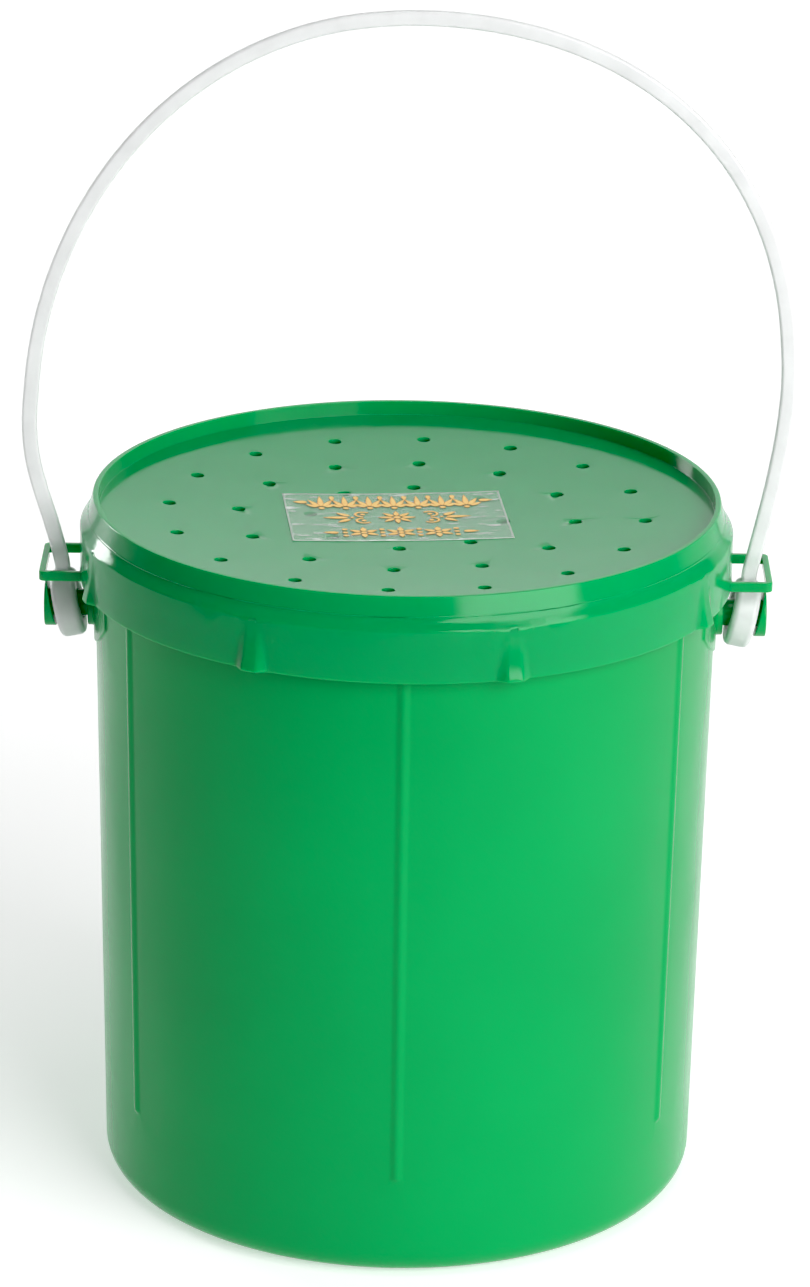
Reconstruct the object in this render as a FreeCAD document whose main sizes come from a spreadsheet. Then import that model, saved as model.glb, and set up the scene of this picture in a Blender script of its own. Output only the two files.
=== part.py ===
import FreeCAD, Part
import math
import os
import re

import Sketcher
from FreeCAD import Placement, Rotation, Vector

# Bait box: a green pail, a vented lid that snaps over its rim, a clear label on the lid, and a bail
# handle whose eyes turn on pins moulded with the pail.
# Millimetres, +Z up. The origin is the middle of the foot, on the surface that the pail stands on.
# X runs through the two ears, and -Y is the front.

# The driving sizes. Angles are in degrees.
SIZES = [
    ("pail_height", 126.9, "foot to the top of the rim"),
    ("base_radius", 55.49, "outside of the wall, carried down to the foot"),
    ("wall_draft", 0.89, "lean of the wall from upright"),
    ("pail_wall", 1.1, "thickness of the pail's wall"),
    ("floor_wall", 1.3, "thickness of the pail's floor"),
    ("foot_height", 1.2, "how far the floor is raised inside the foot"),
    ("foot_width", 4.5, "width of the flat ring that the pail stands on"),
    ("base_round", 5.0, "rounding between wall and foot"),
    ("rim_bead", 0.94, "how far the rim's bead stands out from the wall"),
    ("rim_depth", 3.0, "height of the rim's bead"),
    ("rim_chamfer", 0.8, "bevel on the rim's outer edge"),
    ("rib_count", 6, "ribs round the pail"),
    ("rib_width", 1.4, "width of a rib"),
    ("rib_rise", 0.35, "how far a rib stands out from the wall"),
    ("rib_foot", 19.6, "height at which the ribs begin"),
    ("eye_headroom", 0.55, "skirt's lower edge down to the top of the handle's eye"),
    ("eye_gap", 0.456, "play between the eye and the disc at the pin's root"),
    ("plate_rise", 0.4, "how far an ear's plate stands out from the wall"),
    ("plate_width", 36.8, "width of an ear's plate"),
    ("plate_drop", 6.0, "axis down to the lowest point of the plate"),
    ("plate_curve", 7.0, "height of the plate's rounded lower edge"),
    ("pin_radius", 2.45, "pin that the eye turns on"),
    ("shoulder_radius", 4.2, "disc at the pin's root"),
    ("shoulder_rise", 1.4, "wall to the face of that disc"),
    ("head_radius", 4.4, "head that keeps the eye on its pin"),
    ("head_wall", 1.28, "thickness of the head, at the pin's middle"),
    ("head_gap", 0.65, "play between the eye and the head"),
    ("ear_tilt", 12.0, "lean of the eye, its top outwards"),
    ("eye_width", 4.6, "width of the eye along the pin"),
    ("eye_radius", 6.35, "outside of the eye"),
    ("eye_play", 1.2, "play between the pin and the eye's hole"),
    ("eye_round", 1.1, "rounding of the eye's outer edges"),
    ("strap_width", 2.8, "width of the handle's strap, seen from the front"),
    ("strap_depth", 1.6, "depth of the strap, front to back"),
    ("strap_bevel", 0.35, "bevel along the strap's edges"),
    ("foot_reach", 1.0, "how far the strap leans out just above the eye"),
    ("foot_rise", 1.15, "top of the eye up to that place"),
    ("bail_bow", 7.1, "middle of the eye out to the widest part of the handle"),
    ("bail_waist", 40.0, "axis to the widest part"),
    ("leg_ease", 1.15, "how slowly the legs begin to bow, 1 for a plain quarter wave"),
    ("bail_crown", 71.5, "widest part to the top of the handle"),
    ("bail_power", 2.09, "power of the curve over the top, 2 for an ellipse"),
    ("bail_sway", 5.5, "how far the handle has crept: right shoulder up, left one down"),
    ("lid_wall", 1.1, "thickness of the lid"),
    ("seat_gap", 0.3, "play between the lid and the rim, up and down"),
    ("skirt_gap", 0.6, "play between the rim's bead and the skirt"),
    ("skirt_depth", 10.0, "top of the rim down to the skirt's lower edge"),
    ("skirt_lean", 0.1, "lean of the skirt from upright, over its height"),
    ("snap_gap", 0.3, "play between the rim's bead and the snap bead under it"),
    ("snap_height", 1.5, "height of the snap bead"),
    ("plug_gap", 0.45, "play between the plug ring and the pail's wall"),
    ("plug_depth", 4.9, "top of the rim down to the plug ring's lower edge"),
    ("plug_wall", 1.0, "thickness of the plug ring"),
    ("lip_inset", 2.5, "skirt in to the outside of the lip"),
    ("lip_wall", 1.0, "thickness of the lip"),
    ("lip_height", 5.3, "top of the rim up to the top of the lip"),
    ("lip_flare", 0.35, "how much wider the lip is at its foot"),
    ("shoulder_top", 1.9, "top of the rim up to the shoulder's upper crease"),
    ("shoulder_foot", 0.6, "top of the rim down to the shoulder's lower crease"),
    ("shoulder_round", 2.6, "radius of the shoulder's rounding"),
    ("dish_rise", 0.31, "top of the rim up to the middle of the panel"),
    ("dish_radius", 697.0, "radius of the panel's hollow"),
    ("pattern_turn", -3.95, "turn of the vents and flares about Z, from the ears"),
    ("vent_radius", 1.2, "radius of a vent"),
    ("outer_ring", 43.9, "radius of the outer ring of vents"),
    ("outer_count", 16, "vents in the outer ring"),
    ("middle_ring", 31.07, "radius of the middle ring of vents"),
    ("middle_count", 12, "vents in the middle ring"),
    ("inner_ring", 17.79, "radius of the inner ring of vents"),
    ("inner_count", 8, "vents in the inner ring"),
    ("flare_count", 8, "pinched flares round the skirt"),
    ("flare_rise", 1.4, "how far a flare stands out at the skirt's lower edge"),
    ("flare_face", 2.9, "width of a flare's face at the bottom"),
    ("flare_tip", 1.5, "width of a flare's face at the top"),
    ("flare_slope", 2.3, "width of the slope on each side of the face"),
    ("loop_bar", 1.15, "thickness of a guard loop, seen from above"),
    ("loop_height", 1.75, "height of a guard loop"),
    ("loop_reach", 3.75, "middle of the eye to the inside of the loop's outer bar"),
    ("loop_width", 14.9, "clear width of a guard loop"),
    ("loop_corner", 1.2, "rounding of a guard loop's outer corners"),
    ("film_length", 40.5, "label, left to right"),
    ("film_height", 27.3, "label, front to back"),
    ("film_wall", 0.15, "thickness of the label"),
    ("film_gap", 0.05, "layer of glue under the label"),
    ("film_turn", 5.6, "turn of the label about Z"),
    ("film_left", 1.78, "how far the label sits left of the middle"),
    ("film_back", 0.24, "how far it sits behind the middle"),
]

# Sizes that follow from the driving ones.


def wall_at(height):
    """Outer radius of the pail's wall at a height."""
    return f"(base_radius + ({height}) * tan(wall_draft))"


def dish_at(radius, depth="0"):
    """Height of the lid's panel at a radius, or of a surface that lies a depth under it."""
    return (f"(pail_height + dish_rise + dish_radius"
            f" - sqrt((dish_radius + {depth})^2 - ({radius})^2))")


RIM_FOOT = "(pail_height - rim_depth)"
RIM_RADIUS = f"({wall_at('pail_height')} + rim_bead)"
RIM_INNER = f"({wall_at('pail_height')} - pail_wall)"
FLOOR_TOP = "(foot_height + floor_wall)"
EYE_BORE = "(pin_radius + eye_play)"
AXIS_HEIGHT = "(pail_height - skirt_depth - eye_headroom - eye_radius)"
EAR_WALL = wall_at(AXIS_HEIGHT)
EYE_LEAN = "(shoulder_radius * tan(ear_tilt) + eye_width / 2 / cos(ear_tilt))"
EYE_REACH = f"({EAR_WALL} + shoulder_rise + eye_gap + {EYE_LEAN})"
HEAD_FACE = f"({EYE_REACH} + (eye_width / 2 + head_gap) / cos(ear_tilt))"
HEAD_REACH = f"({HEAD_FACE} + head_wall)"
SKIRT_INNER = f"({RIM_RADIUS} + skirt_gap)"
SKIRT_RADIUS = f"({SKIRT_INNER} + lid_wall)"
SKIRT_FOOT = "(pail_height - skirt_depth)"
CREASE_RADIUS = f"({SKIRT_RADIUS} - skirt_lean)"
CREASE_HEIGHT = "(pail_height - shoulder_foot)"
CHANNEL_TOP = "(pail_height + seat_gap)"
SNAP_TOP = f"({RIM_FOOT} - seat_gap)"
PLUG_RADIUS = f"({RIM_INNER} - plug_gap)"
LIP_RADIUS = f"({SKIRT_RADIUS} - lip_inset)"

doc = FreeCAD.newDocument("bait_box")


def fill_sheet():
    """Put each driving size in a cell of its own, named by its alias."""
    sheet = doc.addObject("Spreadsheet::Sheet", "sizes")
    for row, (alias, size, meaning) in enumerate(SIZES, start=1):
        sheet.set(f"A{row}", str(size))
        sheet.setAlias(f"A{row}", alias)
        sheet.set(f"B{row}", meaning)
    doc.recompute()
    return sheet


sheet = fill_sheet()


def sized(expression):
    """The expression, with the name of each size pointed at its cell."""
    return re.sub(r"[a-z]+(_[a-z]+)+", r"sizes.\g<0>", expression)


def value(expression):
    """What the expression comes to, in millimetres or degrees."""
    return float(sheet.evalExpression(sized(expression)))


def bind(thing, **expressions):
    """Bind properties of an object to expressions in the driving sizes."""
    for name, expression in expressions.items():
        thing.setExpression(name, sized(expression))
    return thing


def place(thing, x="0", y="0", z="0", axis=(0, 0, 1), angle="0"):
    """Bind an object's place, and its turn about an axis."""
    thing.Placement = Placement(Vector(), Rotation(Vector(*axis), value(angle)))
    thing.setExpression("Placement.Base.x", sized(x))
    thing.setExpression("Placement.Base.y", sized(y))
    thing.setExpression("Placement.Base.z", sized(z))
    thing.setExpression("Placement.Rotation.Angle", sized(angle))
    return thing


def new_body(name):
    """An empty body, in which one moulding or a block of it is made."""
    body = doc.addObject("PartDesign::Body", name)
    body.Label = name
    return body


def new_sketch(body, name, plane, lift="0", turn="0"):
    """A sketch on one of the body's own planes, lifted off it and turned in it."""
    sketch = body.newObject("Sketcher::SketchObject", name)
    support = [feature for feature in body.Origin.OriginFeatures if feature.Role == plane]
    sketch.AttachmentSupport = (support[0], [""])
    sketch.MapMode = "FlatFace"
    sketch.AttachmentOffset = Placement(Vector(), Rotation(Vector(0, 0, 1), value(turn)))
    sketch.setExpression("AttachmentOffset.Base.z", sized(lift))
    sketch.setExpression("AttachmentOffset.Rotation.Angle", sized(turn))
    return sketch


def constrain(sketch, kind, *geometry, size=None):
    """Add a constraint, bound to an expression where it has a size."""
    if size is None:
        sketch.addConstraint(Sketcher.Constraint(kind, *geometry))
        return
    number = sketch.addConstraint(Sketcher.Constraint(kind, *geometry, value(size)))
    sketch.setExpression(f"Constraints[{number}]", sized(size))


START_POINT, END_POINT, CENTRE_POINT = 1, 2, 3
ACROSS_AXIS, UP_AXIS = -1, -2


def pin_point(sketch, piece, end, across, up):
    """Hold a point of a sketch at its distances from the sketch's origin."""
    if across == "0":
        constrain(sketch, "PointOnObject", piece, end, UP_AXIS)
    else:
        constrain(sketch, "DistanceX", ACROSS_AXIS, START_POINT, piece, end, size=across)
    if up == "0":
        constrain(sketch, "PointOnObject", piece, end, ACROSS_AXIS)
    else:
        constrain(sketch, "DistanceY", ACROSS_AXIS, START_POINT, piece, end, size=up)


def draw_arc(sketch, start, end, turns_left, radius):
    """Add the short arc of a radius between two points, and return its number."""
    chord = end - start
    middle = (start + end) * 0.5
    height = math.sqrt(radius ** 2 - (chord.Length / 2) ** 2)
    left = Vector(-chord.y, chord.x, 0).normalize()
    centre = middle + left * (height if turns_left else -height)
    first, last = (start, end) if turns_left else (end, start)
    angles = [math.atan2(point.y - centre.y, point.x - centre.x) for point in (first, last)]
    circle = Part.Circle(centre, Vector(0, 0, 1), radius)
    return sketch.addGeometry(Part.ArcOfCircle(circle, angles[0], angles[1]))


def outline(sketch, corners, arcs=None):
    """Draw a closed outline through corners, each a pair of expressions, across and up.

    Where arcs names a corner's number, an arc leaves that corner instead of a line. Its entry holds
    the way it turns, left or right, and its radius.
    """
    arcs = arcs or {}
    points = [Vector(value(across), value(up), 0) for across, up in corners]
    pieces = []
    for number, start in enumerate(points):
        end = points[(number + 1) % len(points)]
        if number in arcs:
            way, radius = arcs[number]
            turns_left = way == "left"
            piece = draw_arc(sketch, start, end, turns_left, value(radius))
            pieces.append((piece, START_POINT, END_POINT) if turns_left else (piece, END_POINT, START_POINT))
            constrain(sketch, "Radius", piece, size=radius)
        else:
            piece = sketch.addGeometry(Part.LineSegment(start, end))
            pieces.append((piece, START_POINT, END_POINT))
    for number, (piece, start, end) in enumerate(pieces):
        following, following_start, _ = pieces[(number + 1) % len(pieces)]
        constrain(sketch, "Coincident", piece, end, following, following_start)
        pin_point(sketch, piece, start, *corners[number])


def revolve(body, name, sketch, angle="360", midplane=False):
    """Turn a sketch round its own upright axis."""
    turned = body.newObject("PartDesign::Revolution", name)
    turned.Profile = sketch
    turned.ReferenceAxis = (sketch, ["V_Axis"])
    turned.Midplane = midplane
    return bind(turned, Angle=angle)


def pad(body, name, sketch, length, both_ways=False):
    """Raise a sketch into a solid, along its own normal or half to each side."""
    raised = body.newObject("PartDesign::Pad", name)
    raised.Profile = sketch
    raised.SideType = "Symmetric" if both_ways else "One side"
    return bind(raised, Length=length)


def repeat_round(body, name, features, count):
    """Repeat features round the body's upright axis, evenly over the whole turn."""
    ring = body.newObject("PartDesign::PolarPattern", name)
    ring.Originals = features
    axis = [feature for feature in body.Origin.OriginFeatures if feature.Role == "Z_Axis"]
    ring.Axis = (axis[0], [""])
    ring.Angle = 360
    bind(ring, Occurrences=count)
    body.Tip = ring
    return ring


def join(name, kind, pieces):
    """Fuse or intersect pieces."""
    joined = doc.addObject(kind, name)
    joined.Shapes = pieces
    joined.Label = name
    return joined


def mirror_across(name, source):
    """The same piece on the other side, left for right."""
    mirrored = doc.addObject("Part::Mirroring", name)
    mirrored.Source = source
    mirrored.Normal = Vector(1, 0, 0)
    mirrored.Base = Vector(0, 0, 0)
    return mirrored


def disc(name, radius, start, end):
    """A round bar along X, on the handle's axis, from one distance to another."""
    bar = doc.addObject("Part::Cylinder", name)
    bind(bar, Radius=radius, Height=f"{end} - {start}")
    return place(bar, x=start, z=AXIS_HEIGHT, axis=(0, 1, 0), angle="90")


def make_tub():
    """The pail's wall, floor, foot and rim bead in one turned profile, with its ribs."""
    body = new_body("tub")
    inner_round = "(base_round - pail_wall)"
    profile = new_sketch(body, "tub_profile", "XZ_Plane")
    outline(profile, [
        ("0", "foot_height"),
        ("base_radius - base_round - foot_width", "foot_height"),
        ("base_radius - base_round - foot_width", "0"),
        ("base_radius - base_round", "0"),
        (wall_at("base_round"), "base_round"),
        (wall_at(RIM_FOOT), RIM_FOOT),
        (RIM_RADIUS, RIM_FOOT),
        (RIM_RADIUS, "pail_height - rim_chamfer"),
        (f"{RIM_RADIUS} - rim_chamfer", "pail_height"),
        (RIM_INNER, "pail_height"),
        (f"{wall_at(FLOOR_TOP)} - pail_wall", f"{FLOOR_TOP} + {inner_round}"),
        (f"{wall_at(FLOOR_TOP)} - pail_wall - {inner_round}", FLOOR_TOP),
        ("0", FLOOR_TOP),
    ], arcs={3: ("left", "base_round"), 10: ("right", inner_round)})
    revolve(body, "tub_wall", profile)

    section = new_sketch(body, "rib_section", "YZ_Plane")
    outline(section, [
        (f"{wall_at('rib_foot')} - pail_wall / 2", "rib_foot"),
        (f"{wall_at('rib_foot')} + rib_rise", "rib_foot"),
        (f"{wall_at(RIM_FOOT)} + rib_rise", RIM_FOOT),
        (f"{wall_at(RIM_FOOT)} - pail_wall / 2", RIM_FOOT),
    ])
    rib = revolve(body, "rib", section, angle=f"rib_width / {EAR_WALL} * 180 / pi", midplane=True)
    repeat_round(body, "ribs", [rib], "rib_count")
    return body


def make_ear_plate():
    """The thin raised plate that an ear stands on, wrapped round the wall."""
    body = new_body("plate_block")
    shape = new_sketch(body, "plate_shape", "YZ_Plane")
    shoulder = f"({AXIS_HEIGHT} - plate_drop + plate_curve)"
    outline(shape, [
        ("plate_width / 2", shoulder),
        ("plate_width / 2", RIM_FOOT),
        ("-plate_width / 2", RIM_FOOT),
        ("-plate_width / 2", shoulder),
    ], arcs={3: ("left", "((plate_width / 2)^2 + plate_curve^2) / (2 * plate_curve)")})
    pad(body, "plate_pad", shape, EYE_REACH)

    low = f"({AXIS_HEIGHT} - plate_drop)"
    cones = []
    for name, offset in (("plate_outside", "plate_rise"), ("plate_inside", "-pail_wall / 2")):
        cone = doc.addObject("Part::Cone", name)
        bind(cone, Radius1=f"{wall_at(low)} + {offset}", Radius2=f"{wall_at(RIM_FOOT)} + {offset}",
             Height=f"{RIM_FOOT} - {low}")
        cones.append(place(cone, z=low))
    shell = doc.addObject("Part::Cut", "plate_shell")
    shell.Base, shell.Tool = cones
    return join("ear_plate", "Part::MultiCommon", [body, shell])


def make_head():
    """The head at the pin's end. Its inner face leans with the eye, so it is thinner at the top."""
    body = new_body("head_block")
    profile = new_sketch(body, "head_profile", "XZ_Plane")
    lean = "head_radius * tan(ear_tilt)"
    outline(profile, [
        (f"{HEAD_FACE} - {lean}", f"{AXIS_HEIGHT} - head_radius"),
        (HEAD_REACH, f"{AXIS_HEIGHT} - head_radius"),
        (HEAD_REACH, f"{AXIS_HEIGHT} + head_radius"),
        (f"{HEAD_FACE} + {lean}", f"{AXIS_HEIGHT} + head_radius"),
    ])
    pad(body, "head_pad", profile, "head_radius * 2", both_ways=True)
    round_head = disc("head_disc", "head_radius", EYE_REACH, HEAD_REACH)
    return join("head", "Part::MultiCommon", [body, round_head])


def make_pail():
    """The pail with both its ears."""
    root = f"({EAR_WALL} - pail_wall / 2)"
    ear = join("ear_right", "Part::MultiFuse", [
        make_ear_plate(),
        disc("ear_shoulder", "shoulder_radius", root, f"({EAR_WALL} + shoulder_rise)"),
        disc("ear_pin", "pin_radius", root, f"({HEAD_FACE} + head_wall / 2)"),
        make_head(),
    ])
    return join("pail", "Part::MultiFuse", [make_tub(), ear, mirror_across("ear_left", ear)])


def make_lid_shell(body):
    """Panel, lip, shoulder, skirt, snap bead and plug ring in one turned profile."""
    lip_inner = f"({LIP_RADIUS} - lip_wall)"
    plug_inner = f"({PLUG_RADIUS} - plug_wall)"
    plug_foot = "pail_height - plug_depth"
    snap_radius = f"({RIM_RADIUS} + snap_gap)"
    profile = new_sketch(body, "lid_profile", "XZ_Plane")
    outline(profile, [
        ("0", dish_at("0")),
        (lip_inner, dish_at(lip_inner)),
        (lip_inner, "pail_height + lip_height"),
        (LIP_RADIUS, "pail_height + lip_height"),
        (f"{LIP_RADIUS} + lip_flare", "pail_height + shoulder_top"),
        (CREASE_RADIUS, CREASE_HEIGHT),
        (SKIRT_RADIUS, SKIRT_FOOT),
        (SKIRT_INNER, SKIRT_FOOT),
        (SKIRT_INNER, f"{SNAP_TOP} - snap_height"),
        (snap_radius, f"{SNAP_TOP} - snap_height * 2 / 3"),
        (snap_radius, f"{SNAP_TOP} - snap_height / 3"),
        (SKIRT_INNER, SNAP_TOP),
        (SKIRT_INNER, f"{CHANNEL_TOP} - rim_chamfer"),
        (f"{SKIRT_INNER} - rim_chamfer", CHANNEL_TOP),
        (PLUG_RADIUS, CHANNEL_TOP),
        (PLUG_RADIUS, plug_foot),
        (plug_inner, plug_foot),
        (plug_inner, dish_at(plug_inner, "lid_wall")),
        ("0", dish_at("0", "lid_wall")),
    ], arcs={0: ("left", "dish_radius"), 4: ("right", "shoulder_round"),
             17: ("right", "dish_radius + lid_wall")})
    return revolve(body, "lid_shell", profile)


def cut_vents(body):
    """Three rings of round vents through the panel, each with one vent at the front."""
    for ring in ("outer", "middle", "inner"):
        above = "pail_height + lip_height + lid_wall"
        spot = new_sketch(body, f"{ring}_vent_spot", "XY_Plane", lift=above, turn="pattern_turn")
        circle = Part.Circle(Vector(0, -value(f"{ring}_ring"), 0), Vector(0, 0, 1), value("vent_radius"))
        hole = spot.addGeometry(circle)
        constrain(spot, "Radius", hole, size="vent_radius")
        pin_point(spot, hole, CENTRE_POINT, "0", f"-{ring}_ring")
        vent = body.newObject("PartDesign::Pocket", f"{ring}_vent")
        vent.Profile = spot
        vent.Type = "ThroughAll"
        repeat_round(body, f"{ring}_vents", [vent], f"{ring}_count")


def flare_section(body, name, lift, face, wide, near, far):
    """One level of a flare: its face lies far out, and its slopes run back to near the wall."""
    turn = "pattern_turn + 180 / flare_count"
    section = new_sketch(body, name, "XY_Plane", lift=lift, turn=turn)
    outline(section, [
        (near, f"-({wide}) / 2"),
        (far, f"-({face}) / 2"),
        (far, f"({face}) / 2"),
        (near, f"({wide}) / 2"),
    ])
    return section


def make_flares(body):
    """Pinched flares that widen the skirt's lower edge, hollow behind."""
    near = f"{SKIRT_RADIUS} - lid_wall / 2"
    wide = "flare_face + 2 * flare_slope"
    low = flare_section(body, "flare_low", SKIRT_FOOT, "flare_face", wide,
                        near, f"{SKIRT_RADIUS} + flare_rise")
    high = flare_section(body, "flare_high", CREASE_HEIGHT, "flare_tip", "flare_tip + flare_slope",
                         near, CREASE_RADIUS)
    flare = body.newObject("PartDesign::AdditiveLoft", "flare")
    flare.Profile = low
    flare.Sections = [high]
    flare.Ruled = True

    behind = f"{SKIRT_INNER} - lid_wall / 4"
    hollow_low = flare_section(body, "hollow_low", SKIRT_FOOT, "flare_face - lid_wall / 2",
                               f"{wide} - lid_wall", behind, f"{SKIRT_INNER} + flare_rise")
    hollow_high = flare_section(body, "hollow_high", f"{CREASE_HEIGHT} - lid_wall",
                                "flare_tip - lid_wall / 2", "flare_tip + flare_slope - lid_wall",
                                behind, SKIRT_INNER)
    hollow = body.newObject("PartDesign::SubtractiveLoft", "flare_hollow")
    hollow.Profile = hollow_low
    hollow.Sections = [hollow_high]
    hollow.Ruled = True
    repeat_round(body, "flares", [flare, hollow], "flare_count")


def make_loops(body):
    """A guard loop over each ear: a square hoop on the skirt's lower edge, with the strap inside."""
    outer_half = "(loop_width / 2 + loop_bar)"
    root = f"(sqrt({SKIRT_RADIUS}^2 - {outer_half}^2) - lid_wall / 2)"
    inside = f"({EYE_REACH} + loop_reach)"
    outside = f"({inside} + loop_bar)"
    hoop = new_sketch(body, "loop_outline", "XY_Plane", lift=SKIRT_FOOT)
    outline(hoop, [
        (root, f"-{outer_half}"),
        (f"{outside} - loop_corner", f"-{outer_half}"),
        (outside, f"-{outer_half} + loop_corner"),
        (outside, f"{outer_half} - loop_corner"),
        (f"{outside} - loop_corner", outer_half),
        (root, outer_half),
        (root, "loop_width / 2"),
        (inside, "loop_width / 2"),
        (inside, "-loop_width / 2"),
        (root, "-loop_width / 2"),
    ], arcs={1: ("left", "loop_corner"), 3: ("left", "loop_corner")})
    loop = pad(body, "loop_right", hoop, "loop_height")
    mirrored = body.newObject("PartDesign::Mirrored", "loop_left")
    mirrored.Originals = [loop]
    plane = [feature for feature in body.Origin.OriginFeatures if feature.Role == "YZ_Plane"]
    mirrored.MirrorPlane = (plane[0], [""])
    body.Tip = mirrored


def make_lid():
    """The lid."""
    body = new_body("lid")
    make_lid_shell(body)
    cut_vents(body)
    make_flares(body)
    make_loops(body)
    return body


def make_label():
    """The clear label, a thin sheet that follows the panel's hollow."""
    body = new_body("label_sheet")
    reach = "(sqrt(film_length^2 + film_height^2) / 2 + film_left + film_back)"
    under = "(-film_gap)"
    over = "(-film_gap - film_wall)"
    profile = new_sketch(body, "label_profile", "XZ_Plane")
    outline(profile, [
        ("0", dish_at("0", under)),
        (reach, dish_at(reach, under)),
        (reach, dish_at(reach, over)),
        ("0", dish_at("0", over)),
    ], arcs={0: ("left", f"dish_radius + {under}"), 2: ("right", f"dish_radius + {over}")})
    revolve(body, "label_disc", profile)

    block = new_body("label_block")
    place(block, x="-film_left", y="film_back", angle="film_turn")
    edge = new_sketch(block, "label_edge", "XY_Plane", lift="pail_height - lid_wall")
    outline(edge, [
        ("-film_length / 2", "-film_height / 2"),
        ("film_length / 2", "-film_height / 2"),
        ("film_length / 2", "film_height / 2"),
        ("-film_length / 2", "film_height / 2"),
    ])
    pad(block, "label_pad", edge, "lip_height + lid_wall")
    return join("label_film", "Part::MultiCommon", [body, block])


def make_eye():
    """The right-hand eye of the handle, a short tube that leans out at the top."""
    body = new_body("eye_right")
    profile = new_sketch(body, "eye_profile", "XZ_Plane")
    outline(profile, [
        (EYE_BORE, "-eye_width / 2"),
        ("eye_radius - eye_round", "-eye_width / 2"),
        ("eye_radius", "-eye_width / 2 + eye_round"),
        ("eye_radius", "eye_width / 2 - eye_round"),
        ("eye_radius - eye_round", "eye_width / 2"),
        (EYE_BORE, "eye_width / 2"),
    ], arcs={1: ("left", "eye_round"), 3: ("left", "eye_round")})
    revolve(body, "eye_ring", profile)
    return place(body, x=EYE_REACH, z=AXIS_HEIGHT, axis=(0, 1, 0), angle="90 + ear_tilt")


LEG_STEPS = 4
CROWN_STEPS = 8
SHORTEST_RUN = 0.01


def strap_route():
    """Corners of the strap's route from the right eye over the top to the left one, seen in XZ.

    Each leg bows out from the eye along a quarter of a sine wave, and the crown is a flattened
    ellipse. The sway lifts the right shoulder and lowers the left one. Each point of the right half
    is kept with the share of the sway that it takes.
    """
    reach, height = value(EYE_REACH), value(AXIS_HEIGHT)
    tilt = math.radians(value("ear_tilt"))
    start = value(f"({EYE_BORE} + eye_radius) / 2")
    foot = Vector(reach + value("foot_reach"), height + value("eye_radius + foot_rise"), 0)
    waist = Vector(reach + value("bail_bow"), height + value("bail_waist"), 0)
    right = [(Vector(reach + start * math.sin(tilt), height + start * math.cos(tilt), 0), 0)]
    for step in range(LEG_STEPS):
        share = step / LEG_STEPS
        swing = math.sin(share ** value("leg_ease") * math.pi / 2)
        out = foot.x + (waist.x - foot.x) * swing
        right.append((Vector(out, foot.y + (waist.y - foot.y) * share, 0), swing ** 2))
    for step in range(CROWN_STEPS):
        angle = math.pi / 2 * step / CROWN_STEPS
        across = waist.x * math.cos(angle) ** (2 / value("bail_power"))
        up = value("bail_crown") * math.sin(angle) ** (2 / value("bail_power"))
        right.append((Vector(across, waist.y + up, 0), 1))
    route = []
    for side, half in ((1, right), (-1, reversed(right))):
        for point, freedom in half:
            sway = side * value("bail_sway") * freedom * (point.x / waist.x) ** 2
            route.append(Vector(side * point.x, point.y + sway, 0))
        if side == 1:
            route.append(Vector(0, waist.y + value("bail_crown"), 0))
    return route


def round_route(route):
    """Straight runs joined by tangent arcs, each arc as long as its two runs allow.

    Each piece is a list of stations, two for a run and three for an arc, and a station is a point
    with the direction to its left.
    """
    def left_of(direction):
        return Vector(-direction.y, direction.x, 0)

    pieces = []
    last = route[0]
    for before, corner, after in zip(route, route[1:], route[2:]):
        into, away = (corner - before), (after - corner)
        reach = min(into.Length, away.Length) / 2
        into.normalize()
        away.normalize()
        arc_start, arc_end = corner - into * reach, corner + away * reach
        if (arc_start - last).Length > SHORTEST_RUN:
            pieces.append([(last, left_of(into)), (arc_start, left_of(into))])
        else:
            arc_start = last
        turn = into.getAngle(away)
        radius = reach / math.tan(turn / 2)
        bend = (away - into).normalize()
        centre = arc_start + left_of(into) * (radius if left_of(into).dot(bend) > 0 else -radius)
        halfway = centre - bend * radius
        pieces.append([(arc_start, left_of(into)), (halfway, left_of((into + away).normalize())),
                       (arc_end, left_of(away))])
        last = arc_end
    end = (route[-1] - last).normalize()
    pieces.append([(last, left_of(end)), (route[-1], left_of(end))])
    return pieces


def strap_side(pieces, offset):
    """One long side of the strap, as lines and arcs a distance to the left of its route."""
    edges = []
    for piece in pieces:
        points = [point + side * offset for point, side in piece]
        points = [Vector(point.x, 0, point.y) for point in points]
        curve = Part.LineSegment(*points) if len(points) == 2 else Part.Arc(*points)
        edges.append(curve.toShape())
    return edges


def make_strap():
    """The strap, a flat bar bent over the pail, bevelled along its edges."""
    pieces = round_route(strap_route())
    half = value("strap_width") / 2
    inside = strap_side(pieces, half)
    outside = strap_side(pieces, -half)
    caps = [Part.LineSegment(inside[0].Vertexes[0].Point, outside[0].Vertexes[0].Point).toShape(),
            Part.LineSegment(inside[-1].Vertexes[-1].Point, outside[-1].Vertexes[-1].Point).toShape()]
    face = Part.Face(Part.Wire(Part.__sortEdges__(inside + outside + caps)))
    depth = value("strap_depth")
    face.translate(Vector(0, -depth / 2, 0))
    bar = face.extrude(Vector(0, depth, 0))
    long_edges = [edge for edge in bar.Edges
                  if abs(edge.Vertexes[0].Y - edge.Vertexes[-1].Y) < depth / 2
                  and abs(edge.Length - 2 * half) > 0.001]
    strap = doc.addObject("Part::Feature", "strap")
    strap.Shape = bar.makeChamfer(value("strap_bevel"), long_edges)
    return strap


def make_bail():
    """The handle: the strap with an eye at each end."""
    eye = make_eye()
    return join("bail_handle", "Part::MultiFuse", [make_strap(), eye, mirror_across("eye_left", eye)])


nodes = [make_pail(), make_lid(), make_label(), make_bail()]
doc.recompute()

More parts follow.
